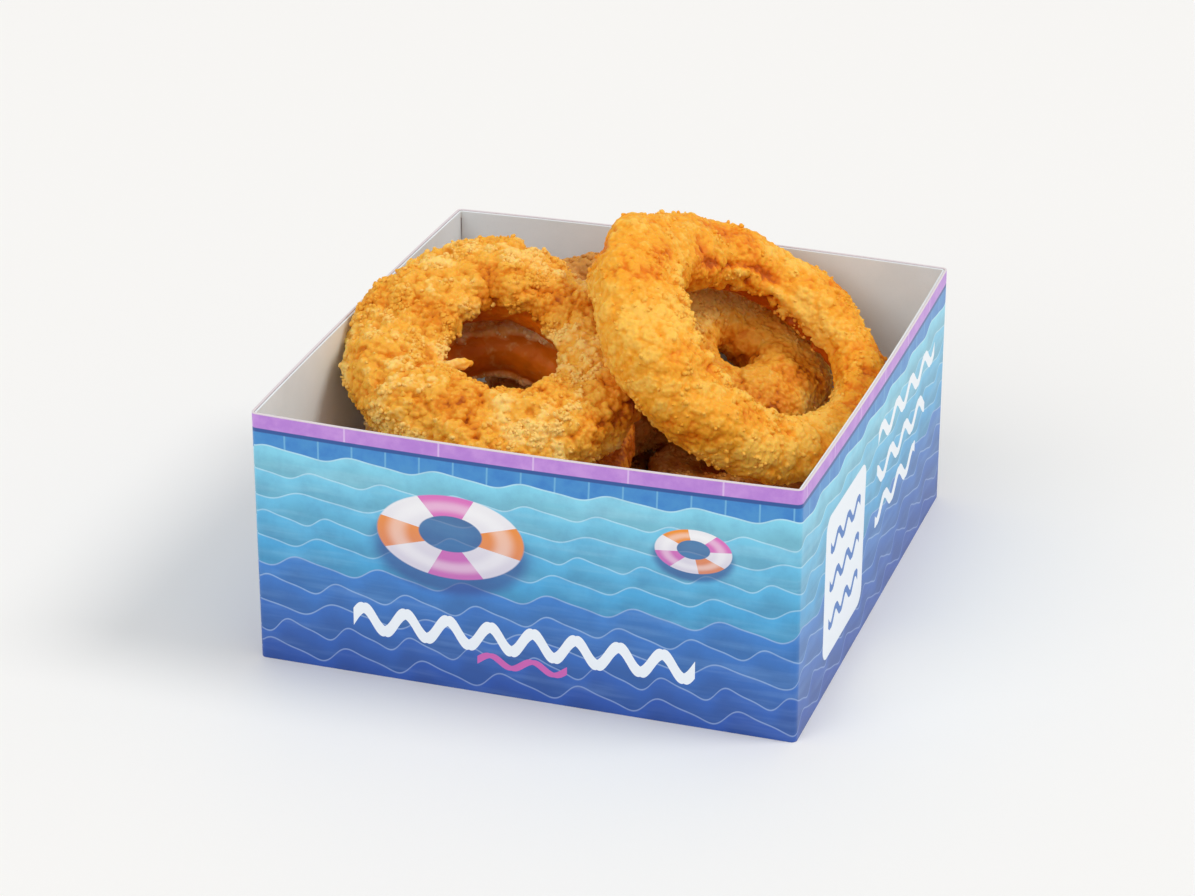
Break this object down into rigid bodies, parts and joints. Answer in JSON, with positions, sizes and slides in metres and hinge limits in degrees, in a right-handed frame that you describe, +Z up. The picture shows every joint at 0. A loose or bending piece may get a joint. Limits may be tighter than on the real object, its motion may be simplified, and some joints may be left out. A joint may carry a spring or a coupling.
{
  "type": "onion rings side",
  "caption": "Open rectangular card tray heaped with crumbed and fried onion rings; rests flat on a table.",
  "frame": {"origin": "middle of the tray's underside, on the table", "axes": "+Z up, +X to the right and +Y to the back, along the tray's walls"},
  "size_m": [0.1216, 0.1286, 0.079],
  "materials": {
    "card": "printed and lightly glossy outside, plain white board inside",
    "crust": "rough golden fried crumb, smoother and browner on the wall of each hole"
  },
  "bodies": {
    "root": {"tray": "card", "ring_top_left": "crust", "ring_top_right": "crust", "ring_middle_right": "crust", "ring_middle_left": "crust", "ring_back": "crust", "ring_bottom_1": "crust", "ring_bottom_2": "crust", "ring_bottom_3": "crust", "ring_bottom_4": "crust"}
  },
  "joints": []
}
